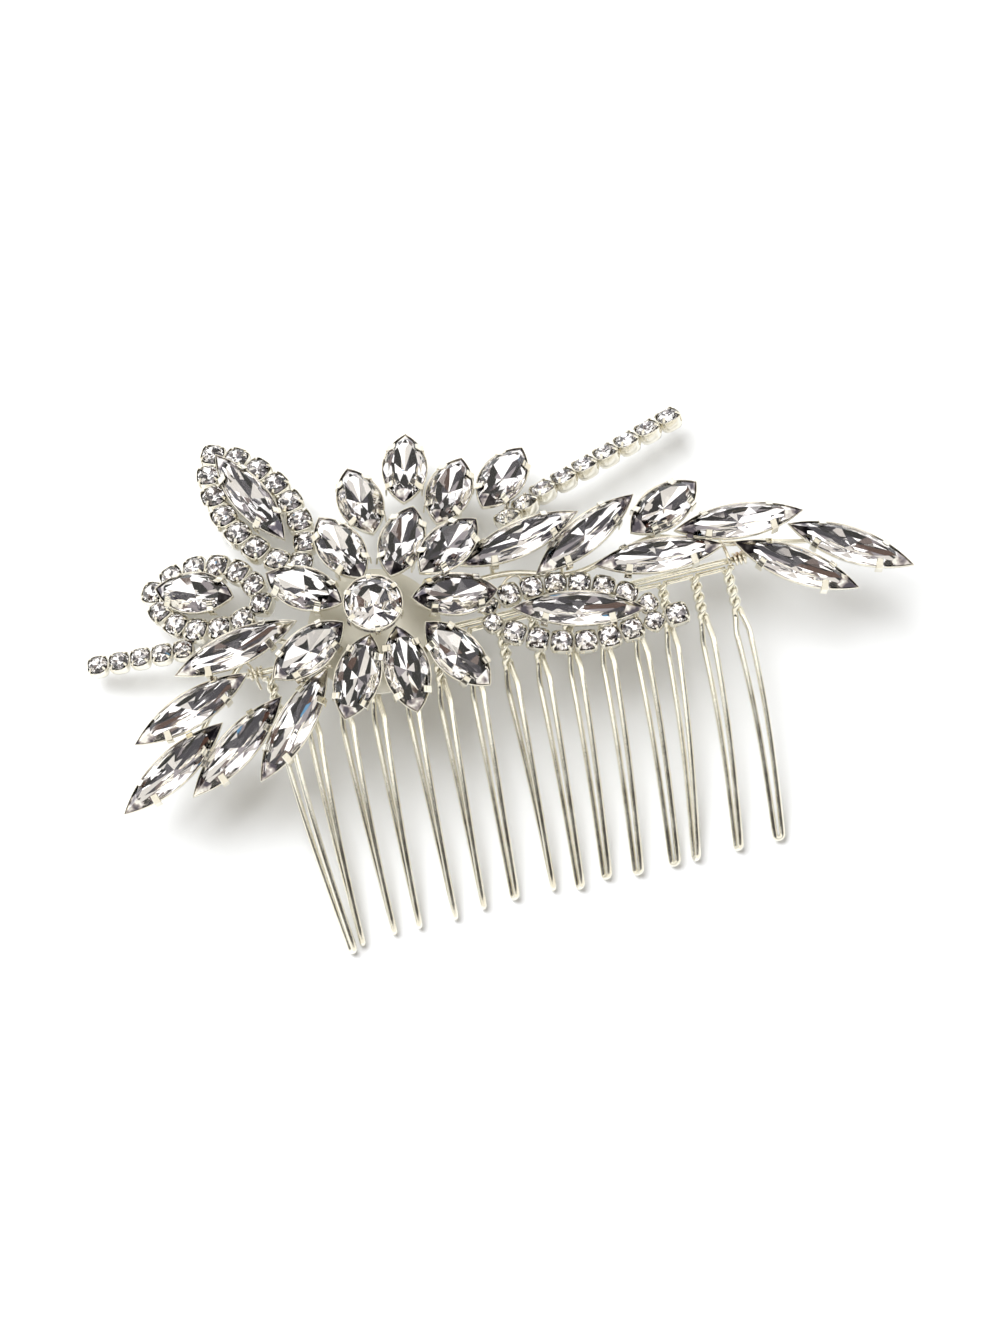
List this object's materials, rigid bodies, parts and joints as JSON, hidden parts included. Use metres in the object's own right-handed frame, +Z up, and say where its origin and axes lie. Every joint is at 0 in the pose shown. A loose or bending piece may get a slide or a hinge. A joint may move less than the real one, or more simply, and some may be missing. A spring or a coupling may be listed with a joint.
{
  "type": "hair comb",
  "caption": "Wire hair comb with twisted-neck teeth carrying an asymmetric spray of faceted crystal petals, leaves edged in small crystals, and loose crystal strands.",
  "frame": {"origin": "on the table the comb lies on, in the middle of the comb's footprint", "axes": "+X along the spine wire towards the longer spray, -Y from the spine towards the tooth tips, +Z up from the table the comb lies on"},
  "size_m": [0.0952, 0.0616, 0.019],
  "materials": {
    "silver_plate": "bright silver plating over brass, slightly warm",
    "binding_wire": "thin tinned craft wire, warm where the plating is thin",
    "crystal": "cut clear glass with silver foil on the back"
  },
  "bodies": {
    "root": {"binding_wire_left": "binding_wire", "binding_wire_middle_left": "binding_wire", "binding_wire_middle_right": "binding_wire", "binding_wire_right": "binding_wire", "comb_spine_wire": "silver_plate", "comb_tooth_wire": "silver_plate", "flower_back_plate": "silver_plate", "flower_center_cup": "silver_plate", "leaf_front_border_chain": "silver_plate", "leaf_front_cup": "silver_plate", "leaf_rear_border_chain": "silver_plate", "leaf_rear_cup": "silver_plate", "leaf_side_border_chain": "silver_plate", "leaf_side_cup": "silver_plate", "left_spray_frame": "silver_plate", "petal_cup_inner_1": "silver_plate", "petal_cup_inner_2": "silver_plate", "petal_cup_inner_3": "silver_plate", "petal_cup_inner_4": "silver_plate", "petal_cup_inner_5": "silver_plate", "petal_cup_inner_6": "silver_plate", "petal_cup_inner_7": "silver_plate", "petal_cup_inner_8": "silver_plate", "petal_cup_inner_9": "silver_plate", "petal_cup_outer_1": "silver_plate", "petal_cup_outer_2": "silver_plate", "petal_cup_outer_3": "silver_plate", "petal_cup_outer_4": "silver_plate", "right_spray_frame": "silver_plate", "stone_flower_center": "crystal", "stone_leaf_front": "crystal", "stone_leaf_rear": "crystal", "stone_leaf_side": "crystal", "stone_left_spray_1": "crystal", "stone_left_spray_2": "crystal", "stone_left_spray_3": "crystal", "stone_left_spray_4": "crystal", "stone_left_spray_5": "crystal", "stone_petal_inner_1": "crystal", "stone_petal_inner_2": "crystal", "stone_petal_inner_3": "crystal", "stone_petal_inner_4": "crystal", "stone_petal_inner_5": "crystal", "stone_petal_inner_6": "crystal", "stone_petal_inner_7": "crystal", "stone_petal_inner_8": "crystal", "stone_petal_inner_9": "crystal", "stone_petal_outer_1": "crystal", "stone_petal_outer_2": "crystal", "stone_petal_outer_3": "crystal", "stone_petal_outer_4": "crystal", "stone_right_spray_1": "crystal", "stone_right_spray_2": "crystal", "stone_right_spray_3": "crystal", "stone_right_spray_4": "crystal", "stone_right_spray_5": "crystal", "stone_right_spray_6": "crystal", "stone_right_spray_7": "crystal", "strip_chain_rear": "silver_plate", "strip_chain_side": "silver_plate"}
  },
  "joints": []
}
